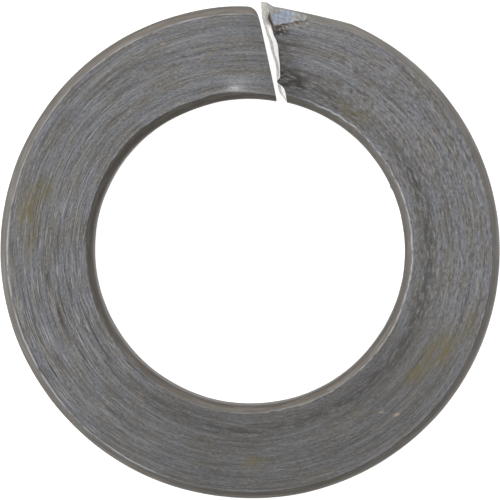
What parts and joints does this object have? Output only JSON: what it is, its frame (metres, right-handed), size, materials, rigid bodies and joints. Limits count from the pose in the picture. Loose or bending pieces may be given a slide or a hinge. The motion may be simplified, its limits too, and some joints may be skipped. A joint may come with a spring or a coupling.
{
  "type": "spring lock washer",
  "caption": "Helical spring lock washer: one turn of rounded flat steel wire, cut on a slant and sprung open, for a 3/4 in bolt.",
  "frame": {"origin": "on the bore's axis, level with the lowest point of the coil, the tip of the low end", "axes": "+Z along the bore's axis towards the raised end, +Y through the middle of the gap, +X to the side of the low end"},
  "size_m": [0.031, 0.031, 0.0068],
  "materials": {
    "oiled_spring_steel": "dark oil-blackened spring steel with drawn lines along the coil"
  },
  "bodies": {
    "root": {"washer": "oiled_spring_steel"}
  },
  "joints": []
}
